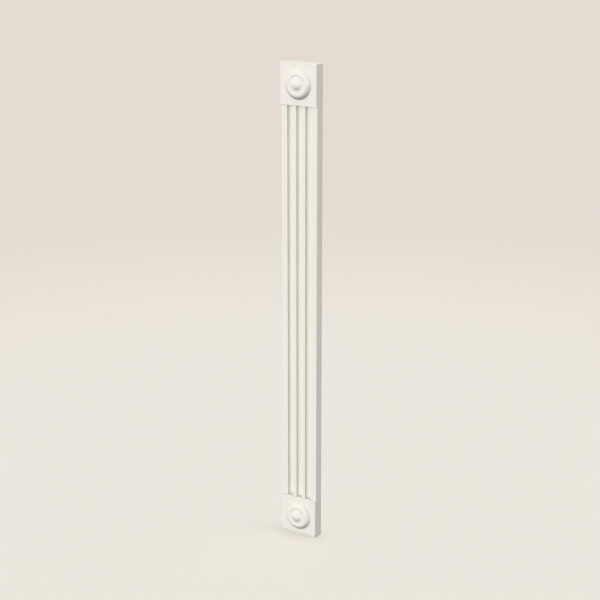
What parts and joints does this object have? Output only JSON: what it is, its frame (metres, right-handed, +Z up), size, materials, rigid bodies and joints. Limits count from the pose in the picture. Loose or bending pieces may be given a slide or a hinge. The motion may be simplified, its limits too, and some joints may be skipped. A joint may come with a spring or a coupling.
{
  "type": "fluted pilaster",
  "caption": "Painted flat pilaster trim: a fluted board between square end blocks, each with a turned round rosette, fixed flat against a wall or cabinet.",
  "frame": {"origin": "middle of the back's bottom edge, on the wall plane, where the back mount is", "axes": "+Z up along the pilaster, +Y into the wall, -Y out of the front face, +X across the width"},
  "size_m": [0.0762, 0.0321, 0.9144],
  "materials": {
    "painted_wood": "sprayed warm off-white matt paint"
  },
  "bodies": {
    "root": {"shaft": "painted_wood", "top_block": "painted_wood", "bottom_block": "painted_wood", "top_rosette": "painted_wood", "bottom_rosette": "painted_wood"}
  },
  "joints": []
}
